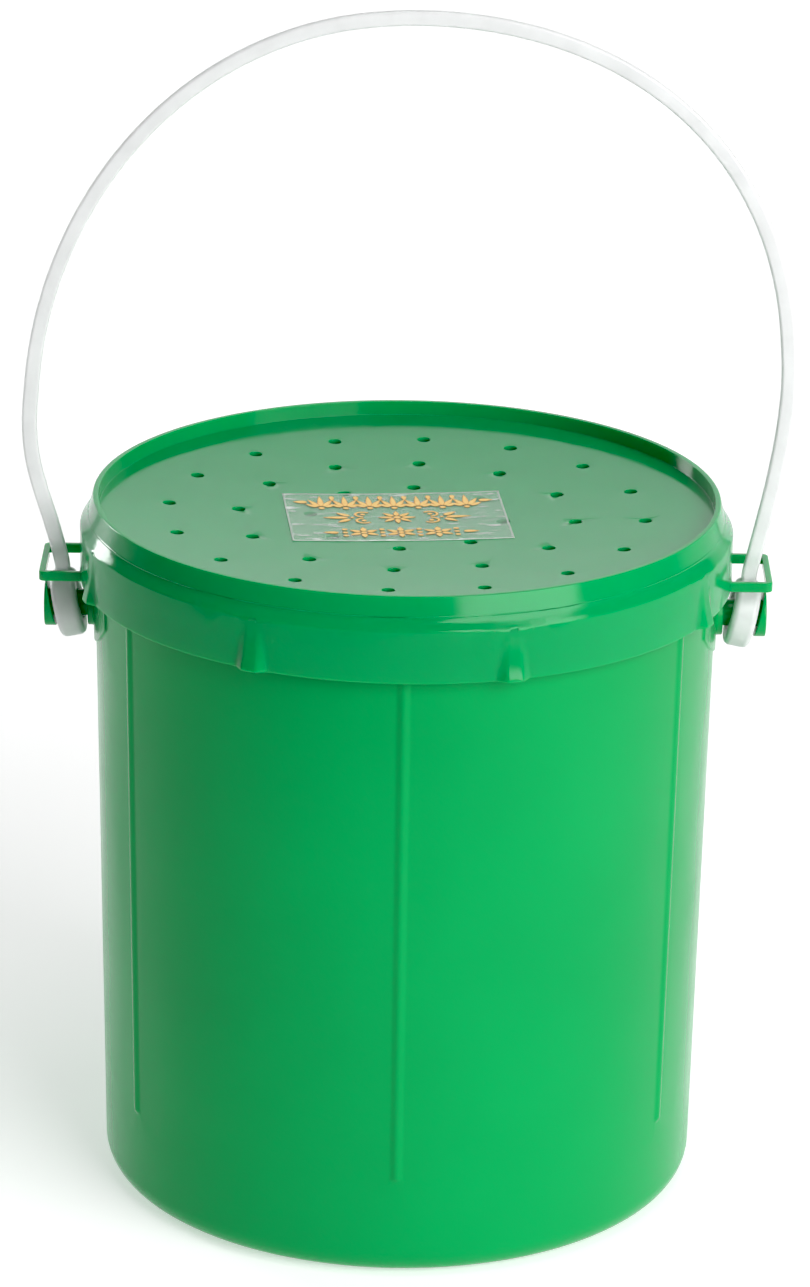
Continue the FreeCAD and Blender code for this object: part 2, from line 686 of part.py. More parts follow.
failed = [thing.Label for thing in doc.Objects if {"Invalid", "Error"} & set(thing.State)]
if failed:
    raise RuntimeError(f"these did not build: {', '.join(failed)}")
for node in nodes:
    if node.Shape.isNull() or not node.Shape.isValid() or len(node.Shape.Solids) != 1:
        raise RuntimeError(f"{node.Label} is not one valid solid")

os.makedirs("parts", exist_ok=True)
for node in nodes:
    node.Shape.exportStep(f"parts/{node.Label}.step")
    box = node.Shape.BoundBox
    print(node.Label, "volume", round(node.Shape.Volume), "box",
          [round(number, 2) for number in (box.XMin, box.YMin, box.ZMin, box.XMax, box.YMax, box.ZMax)])
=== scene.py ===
import math
import random

import bmesh
import bpy
from bpy.props import FloatProperty, FloatVectorProperty, IntProperty, PointerProperty
from mathutils import Matrix, Vector, noise


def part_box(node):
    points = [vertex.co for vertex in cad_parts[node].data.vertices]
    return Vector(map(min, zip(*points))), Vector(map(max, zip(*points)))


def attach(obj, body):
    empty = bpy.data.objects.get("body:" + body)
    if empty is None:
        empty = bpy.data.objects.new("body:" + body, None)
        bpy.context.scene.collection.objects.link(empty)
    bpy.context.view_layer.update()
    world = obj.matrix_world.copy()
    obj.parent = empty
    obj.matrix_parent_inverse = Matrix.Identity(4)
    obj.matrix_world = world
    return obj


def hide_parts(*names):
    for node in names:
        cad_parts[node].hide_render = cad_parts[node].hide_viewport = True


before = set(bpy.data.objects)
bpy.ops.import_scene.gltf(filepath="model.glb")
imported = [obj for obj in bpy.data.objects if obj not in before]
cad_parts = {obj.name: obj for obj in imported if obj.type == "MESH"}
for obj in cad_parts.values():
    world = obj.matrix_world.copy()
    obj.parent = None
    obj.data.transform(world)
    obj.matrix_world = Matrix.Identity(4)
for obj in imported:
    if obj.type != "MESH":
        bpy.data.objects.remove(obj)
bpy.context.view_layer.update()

bl_info = {
    "name": "Bait box",
    "version": (1, 0, 0),
    "blender": (4, 5, 0),
    "location": "View3D > Sidebar > Bait box",
    "description": "Finishes a round bait pail with its vented lid, label and bail handle, and sets up its studio",
    "category": "Add Mesh",
}

FILM_LOW, FILM_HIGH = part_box("label_film")
FILM_MIDDLE = (FILM_LOW + FILM_HIGH) / 2
MM = 0.001
SHARP = math.radians(35)


class PailFinish(bpy.types.PropertyGroup):
    """Colour and gloss of the moulded pail."""

    colour: FloatVectorProperty(
        name="Colour", description="Colour moulded into the pail", subtype="COLOR",
        size=3, min=0, max=1, default=(0.001, 0.325, 0.08))
    roughness: FloatProperty(
        name="Roughness", description="Roughness of the pail's wall", min=0, max=1, default=0.2)
    waviness: FloatProperty(
        name="Waviness", description="Depth of the soft waves left by moulding", unit="LENGTH",
        default=0.02 * MM)
    edge: FloatProperty(
        name="Edge radius", description="Rounding of the moulding's edges", unit="LENGTH", default=0.2 * MM)


class RibSizes(bpy.types.PropertyGroup):
    """Shape of the soft ribs on the pail's wall."""

    count: IntProperty(name="Count", description="Ribs round the pail", min=1, max=24, default=6)
    width: FloatProperty(
        name="Width", description="Width of a rib", unit="LENGTH", default=2.8 * MM)
    rise: FloatProperty(
        name="Rise", description="How far a rib stands out from the wall", unit="LENGTH", default=0.4 * MM)
    foot: FloatProperty(
        name="Foot", description="Height at which the ribs begin", unit="LENGTH", default=19.6 * MM)
    head: FloatProperty(
        name="Head", description="Height at which they end, behind the skirt", unit="LENGTH",
        default=123.8 * MM)
    wall: FloatProperty(
        name="Wall", description="Radius of the wall, carried down to the foot", unit="LENGTH",
        default=55.49 * MM)
    draft: FloatProperty(
        name="Draft", description="Lean of the wall from upright", subtype="ANGLE", unit="ROTATION",
        default=math.radians(0.89))


class FlareSizes(bpy.types.PropertyGroup):
    """Shape of the lid's skirt, its pinched flares and its shoulder."""

    count: IntProperty(name="Count", description="Flares round the skirt", min=1, max=24, default=8)
    turn: FloatProperty(
        name="Turn", description="First flare's turn from the right ear", subtype="ANGLE",
        unit="ROTATION", default=math.radians(18.55))
    face: FloatProperty(
        name="Face", description="Width of a flare's face at the bottom", unit="LENGTH", default=2.7 * MM)
    slope: FloatProperty(
        name="Slope", description="Width of the slope beside the face", unit="LENGTH", default=2.5 * MM)
    rise: FloatProperty(
        name="Rise", description="How far a flare stands out at the bottom", unit="LENGTH",
        default=1.4 * MM)
    skirt: FloatProperty(
        name="Skirt", description="Outer radius of the skirt at its foot", unit="LENGTH",
        default=60.1 * MM)
    lean: FloatProperty(
        name="Lean", description="How much narrower the skirt is at its crease", unit="LENGTH",
        default=0.1 * MM)
    foot: FloatProperty(
        name="Foot", description="Height of the skirt's foot", unit="LENGTH", default=116.9 * MM)
    crease: FloatProperty(
        name="Crease", description="Height of the crease over the skirt", unit="LENGTH",
        default=126.3 * MM)
    lip: FloatProperty(
        name="Lip", description="Outer radius of the lip at its top", unit="LENGTH", default=57.6 * MM)
    top: FloatProperty(
        name="Top", description="Height of the lip's top", unit="LENGTH", default=132.2 * MM)
    lip_foot: FloatProperty(
        name="Lip's foot", description="Height at which the lip meets the shoulder", unit="LENGTH",
        default=128.2 * MM)
    lip_foot_radius: FloatProperty(
        name="Lip's foot radius", description="Outer radius where the lip meets the shoulder",
        unit="LENGTH", default=58.64 * MM)
    fillet: FloatProperty(
        name="Fillet", description="Softness of the hollow between lip and shoulder", unit="LENGTH",
        default=0.28 * MM)


class LidFinish(bpy.types.PropertyGroup):
    """Colour and gloss of the moulded lid."""

    colour: FloatVectorProperty(
        name="Colour", description="Colour moulded into the lid", subtype="COLOR",
        size=3, min=0, max=1, default=(0.001, 0.32, 0.092))
    roughness: FloatProperty(
        name="Roughness", description="Roughness of the lid", min=0, max=1, default=0.13)
    waviness: FloatProperty(
        name="Waviness", description="Depth of the soft waves left by moulding", unit="LENGTH",
        default=0.01 * MM)
    edge: FloatProperty(
        name="Edge radius", description="Rounding of the moulding's edges", unit="LENGTH", default=0.15 * MM)


class HandleFinish(bpy.types.PropertyGroup):
    """Colour and milkiness of the bail handle."""

    colour: FloatVectorProperty(
        name="Colour", description="Colour of the natural plastic", subtype="COLOR",
        size=3, min=0, max=1, default=(0.87, 0.88, 0.88))
    roughness: FloatProperty(
        name="Roughness", description="Roughness of the strap and eyes", min=0, max=1, default=0.34)
    clearness: FloatProperty(
        name="Clearness", description="Share of light that passes through", min=0, max=1, default=0.3)
    edge: FloatProperty(
        name="Edge radius", description="Rounding of the strap's edges", unit="LENGTH", default=0.18 * MM)


class FilmSizes(bpy.types.PropertyGroup):
    """Sizes and finish of the clear film on the lid."""

    width: FloatProperty(
        name="Width", description="Film from left to right", unit="LENGTH", default=40.5 * MM)
    depth: FloatProperty(
        name="Depth", description="Film from front to back", unit="LENGTH", default=27.3 * MM)
    thickness: FloatProperty(
        name="Thickness", description="Thickness of the film", unit="LENGTH", default=0.08 * MM)
    turn: FloatProperty(
        name="Turn", description="Turn of the film on the lid", subtype="ANGLE", unit="ROTATION",
        default=math.radians(5.6))
    hollow: FloatProperty(
        name="Hollow", description="Radius of the lid's hollow panel", unit="LENGTH", default=697 * MM)
    wrinkle: FloatProperty(
        name="Wrinkle", description="Height of the film's wrinkles", unit="LENGTH", default=0.12 * MM)


class OrnamentSizes(bpy.types.PropertyGroup):
    """Sizes of the gold ornament printed on the film."""

    petals: IntProperty(
        name="Petals", description="Petals of the large flower in the middle", min=5, max=16, default=8)
    flower: FloatProperty(
        name="Flower", description="Radius of the large flower", unit="LENGTH", default=3.5 * MM)
    row: FloatProperty(
        name="Row", description="Middle row to the rows behind and before it", unit="LENGTH",
        default=8.7 * MM)
    pitch: FloatProperty(
        name="Pitch", description="Fan to fan in the back row", unit="LENGTH", default=4.5 * MM)
    outline: FloatProperty(
        name="Outline", description="Width of the dark line round each shape", unit="LENGTH",
        default=0.11 * MM)
    thickness: FloatProperty(
        name="Thickness", description="Thickness of the ink", unit="LENGTH", default=0.03 * MM)


class StudioSizes(bpy.types.PropertyGroup):
    """Camera, floor and lights."""

    distance: FloatProperty(
        name="Distance", description="Camera to the point it looks at", unit="LENGTH", default=0.9908)
    elevation: FloatProperty(
        name="Elevation", description="Height of the camera over the floor, as an angle",
        subtype="ANGLE", unit="ROTATION", default=math.radians(19.845))
    roll: FloatProperty(
        name="Roll", description="Tilt of the camera about its own line of sight",
        subtype="ANGLE", unit="ROTATION", default=math.radians(0.93))
    aim: FloatVectorProperty(
        name="Aim", description="Point that the camera looks at", subtype="TRANSLATION",
        unit="LENGTH", size=3, default=(0.055 * MM, 0, 102.8 * MM))
    lens: FloatProperty(
        name="Lens", description="Focal length in millimetres", default=149.43)
    sensor: FloatProperty(
        name="Sensor", description="Height of the camera's sensor in millimetres", default=36)
    key_power: FloatProperty(
        name="Key light", description="Power of the soft light at the front right, in watts", default=16.5)
    window_power: FloatProperty(
        name="Window light", description="Power of the small light at the back left, in watts", default=5)
    top_power: FloatProperty(
        name="Top light", description="Power of the soft light overhead, in watts", default=3.5)
    floor_glow: FloatProperty(
        name="Floor glow", description="Light given off by the white floor", default=0.5)
    backdrop_glow: FloatProperty(
        name="Backdrop glow", description="Light given off by the white backdrop", default=0.9)
    black_point: FloatProperty(
        name="Black point", description="Brightness that the picture shows as black", default=0.016)


def add_node(tree, kind, inputs=None, **settings):
    """Adds a shader node, sets its settings and its sockets, and links sockets given as values."""
    made = tree.nodes.new(kind)
    for name, value in settings.items():
        setattr(made, name, value)
    for socket, value in (inputs or {}).items():
        if isinstance(value, bpy.types.NodeSocket):
            tree.links.new(value, made.inputs[socket])
        else:
            made.inputs[socket].default_value = value
    return made


def new_material(name):
    """A material with an empty tree, its shader and the Object coordinates."""
    material = bpy.data.materials.new(name)
    material.use_nodes = True
    tree = material.node_tree
    tree.nodes.clear()
    shader = tree.nodes.new("ShaderNodeBsdfPrincipled")
    output = tree.nodes.new("ShaderNodeOutputMaterial")
    tree.links.new(shader.outputs["BSDF"], output.inputs["Surface"])
    place = tree.nodes.new("ShaderNodeTexCoord").outputs["Object"]
    return material, tree, shader, place


def cloud(tree, place, size, detail=2.0):
    """Soft noise whose patches are about one size, in metres, as a socket from 0 to 1."""
    return add_node(tree, "ShaderNodeTexNoise",
                    {"Vector": place, "Scale": 1 / size, "Detail": detail}).outputs["Fac"]


def spread(tree, value, low, high, start=0.0, end=1.0):
    """Maps a value from start..end to low..high."""
    return add_node(tree, "ShaderNodeMapRange", {
        "Value": value, "From Min": start, "From Max": end, "To Min": low, "To Max": high,
    }).outputs["Result"]


def shaded(tree, colour, factor, darkest, lightest):
    """A colour that is made darker or lighter by a factor from 0 to 1."""
    brightness = spread(tree, factor, darkest, lightest, 0.3, 0.7)
    return add_node(tree, "ShaderNodeHueSaturation",
                    {"Color": (*colour, 1), "Value": brightness}).outputs["Color"]


def dust(tree, place, cell, speck, share):
    """One for the few specks of dust that lie in some cells of a size, and zero elsewhere."""
    cells = add_node(tree, "ShaderNodeTexVoronoi", {"Vector": place, "Scale": 1 / cell})
    near = add_node(tree, "ShaderNodeMath", {0: cells.outputs["Distance"], 1: speck / cell},
                    operation="LESS_THAN").outputs[0]
    chosen = add_node(tree, "ShaderNodeMath", {0: cells.outputs["Color"], 1: 1 - share},
                      operation="GREATER_THAN").outputs[0]
    return add_node(tree, "ShaderNodeMath", {0: near, 1: chosen}, operation="MULTIPLY").outputs[0]


def mixed(tree, factor, first, second):
    """A colour between two colours."""
    mix = add_node(tree, "ShaderNodeMix", data_type="RGBA")
    tree.links.new(factor, mix.inputs["Factor"])
    for socket, colour in ((mix.inputs[6], first), (mix.inputs[7], second)):
        if isinstance(colour, bpy.types.NodeSocket):
            tree.links.new(colour, socket)
        else:
            socket.default_value = (*colour, 1)
    return mix.outputs[2]


def bumped(tree, height, depth, normal=None):
    """A normal that follows a height from 0 to 1 with a depth in metres."""
    bump = add_node(tree, "ShaderNodeBump", {"Height": height, "Distance": depth, "Strength": 1.0})
    if normal is not None:
        tree.links.new(normal, bump.inputs["Normal"])
    return bump.outputs["Normal"]


def pail_plastic(finish):
    """Satin green polypropylene with soft sink waves, smudges and a little dust."""
    material, tree, shader, place = new_material("pail_plastic")
    tone = shaded(tree, finish.colour, cloud(tree, place, 40 * MM), 0.96, 1.04)
    specks = dust(tree, place, 9 * MM, 0.18 * MM, 0.1)
    shader.inputs["Base Color"].default_value = (*finish.colour, 1)
    tree.links.new(mixed(tree, specks, tone, (0.5, 0.7, 0.55)), shader.inputs["Base Color"])
    smudge = cloud(tree, place, 18 * MM, 4.0)
    tree.links.new(spread(tree, smudge, finish.roughness * 0.85, finish.roughness * 1.25, 0.35, 0.65),
                   shader.inputs["Roughness"])
    waves = bumped(tree, cloud(tree, place, 12 * MM), finish.waviness)
    tree.links.new(bumped(tree, cloud(tree, place, 1.2 * MM), finish.waviness * 0.06, waves),
                   shader.inputs["Normal"])
    shader.inputs["IOR"].default_value = 1.49
    shader.inputs["Specular IOR Level"].default_value = 0.22
    return material


def lid_plastic(finish):
    """Glossy green polypropylene, a little less even than the pail's."""
    material, tree, shader, place = new_material("lid_plastic")
    tone = shaded(tree, finish.colour, cloud(tree, place, 25 * MM), 0.97, 1.03)
    specks = dust(tree, place, 7 * MM, 0.16 * MM, 0.12)
    tree.links.new(mixed(tree, specks, tone, (0.5, 0.7, 0.55)), shader.inputs["Base Color"])
    smudge = cloud(tree, place, 9 * MM, 4.0)
    tree.links.new(spread(tree, smudge, finish.roughness * 0.8, finish.roughness * 1.3, 0.35, 0.65),
                   shader.inputs["Roughness"])
    waves = bumped(tree, cloud(tree, place, 9 * MM), finish.waviness)
    tree.links.new(bumped(tree, cloud(tree, place, 0.9 * MM), finish.waviness * 0.05, waves),
                   shader.inputs["Normal"])
    shader.inputs["IOR"].default_value = 1.49
    shader.inputs["Specular IOR Level"].default_value = 0.26
    shader.inputs["Subsurface Weight"].default_value = 0.5
    shader.inputs["Subsurface Scale"].default_value = 3 * MM
    shader.inputs["Subsurface Radius"].default_value = (0.3, 1, 0.5)
    return material


def handle_plastic(finish):
    """Milky natural polyethylene that lets some light through."""
    material, tree, shader, place = new_material("handle_plastic")
    tone = shaded(tree, finish.colour, cloud(tree, place, 6 * MM, 3.0), 0.95, 1.03)
    tree.links.new(tone, shader.inputs["Base Color"])
    grain = cloud(tree, place, 0.8 * MM, 3.0)
    tree.links.new(bumped(tree, grain, 0.006 * MM), shader.inputs["Normal"])
    shader.inputs["Roughness"].default_value = finish.roughness
    shader.inputs["IOR"].default_value = 1.5
    shader.inputs["Transmission Weight"].default_value = finish.clearness
    shader.inputs["Subsurface Weight"].default_value = 0.5
    shader.inputs["Subsurface Scale"].default_value = 1.5 * MM
    shader.inputs["Subsurface Radius"].default_value = (1, 1, 1)
    return material


def film_plastic(sizes):
    """Clear film with a faint even haze; the whitish specks over its folds, strongest near its loose ends, and the
    white band along its cut edges are painted highlights.
    """
    material, tree, shader, place = new_material("film_plastic")
    flat = add_node(tree, "ShaderNodeMapping", {
        "Vector": place, "Location": FILM_MIDDLE, "Rotation": (0, 0, sizes.turn),
    }, vector_type="TEXTURE").outputs["Vector"]
    across, along, _ = add_node(tree, "ShaderNodeSeparateXYZ", {"Vector": flat}).outputs
    end = edge_near(tree, across, sizes.width / 2, 3.2 * MM)
    side = edge_near(tree, along, sizes.depth / 2, 2 * MM)
    loose = add_node(tree, "ShaderNodeMath", {0: end, 1: side}, operation="MAXIMUM").outputs[0]
    # Painted highlight: whitish specks over the folds stand in for light caught by the wrinkle crests, strongest
    # near the film's loose ends.
    folds = cloud(tree, add_node(tree, "ShaderNodeMapping", {
        "Vector": flat, "Scale": (0.35, 1, 1)}).outputs["Vector"], 1.6 * MM, 4.0)
    specks = spread(tree, folds, 0, 1, 0.56, 0.66)
    milky = add_node(tree, "ShaderNodeMath", {0: specks, 1: spread(tree, loose, 0.24, 0.72)},
                     operation="MULTIPLY").outputs[0]
    # Painted highlight: a white band along the cut edges stands in for light caught by the film's edges.
    cut_end = edge_near(tree, across, sizes.width / 2, 0.5 * MM)
    cut_side = edge_near(tree, along, sizes.depth / 2, 0.6 * MM)
    cut = add_node(tree, "ShaderNodeMath", {0: cut_end, 1: cut_side}, operation="MAXIMUM").outputs[0]
    # The cover is an even haze of 0.13 plus these painted highlights, shown in the whitish base colour.
    cover = add_node(tree, "ShaderNodeMath", {
        0: add_node(tree, "ShaderNodeMath", {0: milky, 1: spread(tree, cut, 0, 0.5)},
                    operation="MAXIMUM").outputs[0],
        1: 0.13}, operation="ADD").outputs[0]
    tree.links.new(cover, shader.inputs["Alpha"])
    shader.inputs["Base Color"].default_value = (0.86, 0.93, 0.88, 1)
    shader.inputs["Roughness"].default_value = 0.12
    shader.inputs["IOR"].default_value = 1.5
    return material


def edge_near(tree, value, edge, reach):
    """One on the film's edge, falling to zero at a reach inside it."""
    apart = add_node(tree, "ShaderNodeMath", {0: value}, operation="ABSOLUTE").outputs[0]
    return spread(tree, apart, 0, 1, edge - reach, edge)


def gold_ink(name, dark, light):
    """Gold ink with a slightly uneven cover."""
    material, tree, shader, place = new_material(name)
    cover = cloud(tree, place, 0.7 * MM, 4.0)
    tree.links.new(mixed(tree, spread(tree, cover, 0, 1, 0.35, 0.65), dark, light),
                   shader.inputs["Base Color"])
    tree.links.new(spread(tree, cover, 0.3, 0.5), shader.inputs["Roughness"])
    shader.inputs["Metallic"].default_value = 0.25
    return material


def white_stage(floor_glow, backdrop_glow):
    """Pale matt surface that gives off light of its own, more of it far behind the pail."""
    material, tree, shader, place = new_material("white_stage")
    paper = cloud(tree, place, 60 * MM)
    tone = shaded(tree, (0.72, 0.72, 0.72), paper, 0.99, 1.0)
    tree.links.new(tone, shader.inputs["Base Color"])
    shader.inputs["Roughness"].default_value = 0.9
    shader.inputs["Specular IOR Level"].default_value = 0
    shader.inputs["Emission Color"].default_value = (1, 1, 1, 1)
    depth = add_node(tree, "ShaderNodeSeparateXYZ", {"Vector": place}).outputs["Y"]
    front = spread(tree, depth, 0.15 * floor_glow, floor_glow, -0.42, -0.14)
    glow = add_node(tree, "ShaderNodeMath", {
        0: front, 1: spread(tree, depth, 0, backdrop_glow - floor_glow, 0.1, 1.5)}, operation="ADD")
    tree.links.new(glow.outputs[0], shader.inputs["Emission Strength"])
    return material


def reaching(shape, side, facing, reach, low, high, wall):
    """Faces outside a wall that come within a reach of a plane, between two heights, and their parts."""
    found = set()
    for face in shape.faces:
        middle = face.calc_center_median()
        if face.normal.dot(facing) < -0.1 or facing.dot(middle) < wall(middle.z) * 0.98:
            continue
        offsets = [side.dot(corner.co) for corner in face.verts]
        heights = [corner.co.z for corner in face.verts]
        if min(offsets) < reach and max(offsets) > -reach and min(heights) < high and max(heights) > low:
            found.update((face, *face.edges, *face.verts))
    return list(found)


def cut(shape, parts, places, facing):
    """Cuts faces along parallel planes."""
    for place in places:
        parts = bmesh.ops.bisect_plane(shape, geom=parts, dist=0.0005 * MM, plane_co=place,
                                       plane_no=facing)["geom"]
    return [part for part in parts if part.is_valid]


def stand_out(shape, azimuth, reach, columns, heights, wall, rise):
    """Cuts a wall into a fine net about an azimuth, and lets it stand out by a soft rise."""
    facing = Vector((math.cos(azimuth), math.sin(azimuth), 0))
    side = Vector((-facing.y, facing.x, 0))
    parts = reaching(shape, side, facing, reach, heights[0], heights[-1], wall)
    spots = [side * (reach * (2 * step / columns - 1)) for step in range(columns + 1)]
    parts = cut(shape, parts, spots, side)
    parts = cut(shape, parts, [Vector((0, 0, height)) for height in heights], Vector((0, 0, 1)))
    shape.normal_update()
    for corner in {part for part in parts if isinstance(part, bmesh.types.BMVert)}:
        off, height = side.dot(corner.co), corner.co.z
        outside = corner.co.xy.length > wall(height) - 0.1 * MM and corner.normal.dot(facing) > 0.2
        if outside and abs(off) < reach and heights[0] - 0.01 * MM < height < heights[-1] + 0.01 * MM:
            out = math.sqrt(wall(height) ** 2 - off ** 2) + rise(off, height)
            corner.co = facing * out + side * off + Vector((0, 0, height))


def patched(shape, parts, side, facing, reach, low, high):
    """Swaps the outer faces in an upright strip of a wall for one flat face, and gives its parts."""
    up = Vector((0, 0, 1))
    parts = cut(shape, parts, (side * reach, side * -reach), side)
    parts = cut(shape, parts, (up * low, up * high), up)
    inside = []
    for part in parts:
        if isinstance(part, bmesh.types.BMFace):
            middle = part.calc_center_median()
            if abs(side.dot(middle)) < reach and low < middle.z < high:
                inside.append(part)
    bmesh.ops.delete(shape, geom=inside, context="FACES")
    rim = [edge for edge in shape.edges if edge.is_boundary]
    face = bmesh.ops.contextual_create(shape, geom=rim)["faces"][0]
    face.normal_update()
    if face.normal.dot(facing) < 0:
        face.normal_flip()
    return [face, *face.edges, *face.verts]


def ease(value):
    """A smooth step from 0 to 1."""
    value = min(max(value, 0), 1)
    return value * value * (3 - 2 * value)


def soft_ribs(shape, sizes):
    """Gives the flat-edged ribs a round, low section that runs out into the wall."""
    def wall(height):
        return sizes.wall + height * math.tan(sizes.draft)

    def rise(off, height):
        across = min(abs(off) / (sizes.width / 2), 1)
        return sizes.rise * math.cos(across * math.pi / 2) ** 2 * ease((height - sizes.foot) / MM + 0.5)

    reach = sizes.width * 0.55
    up = Vector((0, 0, 1))
    levels = [up * (sizes.foot + step * 0.25 * MM) for step in range(-2, 4)]
    for rib in range(sizes.count):
        azimuth = math.tau * rib / sizes.count + math.pi / 2
        facing = Vector((math.cos(azimuth), math.sin(azimuth), 0))
        side = Vector((-facing.y, facing.x, 0))
        low = sizes.foot - 0.75 * MM
        parts = reaching(shape, side, facing, reach, low, sizes.head, wall)
        parts = patched(shape, parts, side, facing, reach, low, sizes.head)
        parts = cut(shape, parts, [side * (reach * (step / 7 - 1)) for step in range(1, 14)], side)
        parts = cut(shape, parts, levels, up)
        for corner in {part for part in parts if isinstance(part, bmesh.types.BMVert)}:
            out, off, height = facing.dot(corner.co), side.dot(corner.co), corner.co.z
            corner.co += facing * (min(wall(height) - out, 0) + rise(off, height))
    bmesh.ops.dissolve_degenerate(shape, dist=0.01 * MM, edges=shape.edges)


def soft_flares(shape, sizes):
    """Gives the flares soft edges and a face that leaves the skirt gently."""
    def wall(height):
        return sizes.skirt - sizes.lean * (height - sizes.foot) / (sizes.crease - sizes.foot)

    def rise(off, height):
        up = (height - sizes.foot) / (sizes.crease - sizes.foot)
        edge = sizes.face * (0.4 - 0.2 * up)
        fall = ease((abs(off) - edge) / (sizes.slope * (1 - 0.4 * up)))
        return sizes.rise * max(1 - up, 0) ** 1.7 * (1 - fall)

    heights = [sizes.foot + (sizes.crease - sizes.foot) * step / 14 for step in range(15)]
    reach = sizes.face / 2 + sizes.slope + 0.2 * MM
    for flare in range(sizes.count):
        azimuth = sizes.turn + math.tau * flare / sizes.count
        stand_out(shape, azimuth, reach, 26, heights, wall, rise)


def soft_shoulder(shape, sizes):
    """Leans the lip and the shoulder, and lets them meet in a soft hollow."""
    shape.normal_update()
    crease = sizes.skirt - sizes.lean
    slope_lean = (crease - sizes.lip_foot_radius) / (sizes.lip_foot - sizes.crease)
    lip_lean = (sizes.lip_foot_radius - sizes.lip) / (sizes.top - sizes.lip_foot)
    for corner in shape.verts:
        radius, height = corner.co.xy.length, corner.co.z
        beside = sizes.crease + 0.02 * MM < height < sizes.top - 0.02 * MM and radius > sizes.lip
        if beside and corner.normal.xy.dot(corner.co.xy) > 0.2 * radius:
            lip = sizes.lip + lip_lean * (sizes.top - height)
            slope = crease - slope_lean * (height - sizes.crease)
            soft = max(sizes.fillet - abs(lip - slope), 0) ** 2 / (4 * sizes.fillet)
            corner.co.xy *= (max(lip, slope) + soft) / radius


def softened(node, radius, reshape=None):
    """A maker of a copy of a moulded solid whose sharp edges are rounded."""
    def copy(shape):
        shape.from_mesh(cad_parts[node].data)
        bmesh.ops.remove_doubles(shape, verts=shape.verts, dist=0.002 * MM)
        for edge in shape.edges:
            edge.smooth = not edge.is_manifold or edge.calc_face_angle() < SHARP
        if reshape:
            reshape(shape)
        sharp = [edge for edge in shape.edges
                 if not edge.smooth and edge.is_manifold and edge.calc_face_angle() > SHARP]
        bmesh.ops.bevel(shape, geom=sharp, offset=radius, offset_type="OFFSET", segments=2,
                        profile=0.5, affect="EDGES", material=-1, clamp_overlap=False)
        for edge in shape.edges:
            edge.smooth = True

    return copy


def moulding(name, node, radius, material, body, reshape=None):
    """Puts a moulding with rounded edges in the place of a solid."""
    piece = new_piece(name, softened(node, radius, reshape), material, body)
    piece.data.attributes.remove(piece.data.attributes["custom_normal"])
    for face in piece.data.polygons:
        face.use_smooth = True
    piece.modifiers.new("even shading", "WEIGHTED_NORMAL")
    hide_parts(node)
    return piece


def new_piece(name, mesh_maker, material, body):
    """Makes a mesh object from a bmesh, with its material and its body."""
    mesh = bpy.data.meshes.new(name)
    shape = bmesh.new()
    mesh_maker(shape)
    shape.to_mesh(mesh)
    shape.free()
    piece = bpy.data.objects.new(name, mesh)
    bpy.context.scene.collection.objects.link(piece)
    mesh.materials.append(material)
    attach(piece, body)
    return piece


def dish_height(radius, sizes):
    """How far the lid's panel has risen over its middle at a radius."""
    return sizes.hollow - math.sqrt(sizes.hollow ** 2 - radius ** 2)


def lay_on_lid(shape, sizes, height, wrinkles=True):
    """Turns a flat shape as the film lies, and lets it follow the panel and the wrinkles."""
    turn = Matrix.Rotation(sizes.turn, 4, "Z")
    for corner in shape.verts:
        flat = corner.co.copy()
        lift = wrinkle_height(flat, sizes) if wrinkles else 0
        place = turn @ Vector((flat.x, flat.y, 0)) + Vector((FILM_MIDDLE.x, FILM_MIDDLE.y, 0))
        rise = dish_height(place.xy.length, sizes)
        corner.co = Vector((place.x, place.y, FILM_LOW.z + rise + height + flat.z + lift))


def wrinkle_height(flat, sizes):
    """Height of the film's wrinkles: more at its short ends, and next to none under the print."""
    end = abs(flat.x) / (sizes.width / 2)
    side = abs(flat.y) / (sizes.depth / 2)
    loose = max(end ** 6, 0.6 * side ** 8)
    ripple = noise.noise(Vector((flat.x / (4 * MM), flat.y / (2.5 * MM), 0.7)))
    return sizes.wrinkle * (loose * (0.55 + 0.9 * ripple) + 0.12 * max(ripple, 0))


class FinishPail(bpy.types.Operator):
    """Make the moulded pail, with rounded edges and satin green plastic"""

    bl_idname = "bait_box.finish_pail"
    bl_label = "Pail"

    def execute(self, context):
        finish = context.scene.pail_finish
        ribs = context.scene.rib_sizes
        moulding("moulded_pail", "pail", finish.edge, pail_plastic(finish), "pail",
                 lambda shape: soft_ribs(shape, ribs))
        return {"FINISHED"}


class FinishLid(bpy.types.Operator):
    """Make the moulded lid, with rounded edges and glossy green plastic"""

    bl_idname = "bait_box.finish_lid"
    bl_label = "Lid"

    def execute(self, context):
        finish = context.scene.lid_finish
        flares = context.scene.flare_sizes

        def reshape(shape):
            soft_flares(shape, flares)
            soft_shoulder(shape, flares)

        moulding("moulded_lid", "lid", finish.edge, lid_plastic(finish), "lid", reshape)
        return {"FINISHED"}


class FinishHandle(bpy.types.Operator):
    """Make the bail handle, with rounded edges and milky plastic"""

    bl_idname = "bait_box.finish_handle"
    bl_label = "Bail handle"

    def execute(self, context):
        finish = context.scene.handle_finish
        moulding("moulded_handle", "bail_handle", finish.edge, handle_plastic(finish), "bail_handle")
        return {"FINISHED"}


class MakeFilm(bpy.types.Operator):
    """Lay the clear film on the lid, with its wrinkles"""

    bl_idname = "bait_box.make_film"
    bl_label = "Label film"

    def execute(self, context):
        sizes = context.scene.film_sizes

        def film(shape):
            bmesh.ops.create_grid(shape, x_segments=81, y_segments=55, size=0.5)
            bmesh.ops.scale(shape, vec=(sizes.width, sizes.depth, 1), verts=shape.verts)
            lay_on_lid(shape, sizes, 0)

        piece = new_piece("clear_film", film, film_plastic(sizes), "lid")
        wall = piece.modifiers.new("thickness", "SOLIDIFY")
        wall.thickness = sizes.thickness
        wall.offset = 1
        for face in piece.data.polygons:
            face.use_smooth = True
        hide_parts("label_film")
        return {"FINISHED"}


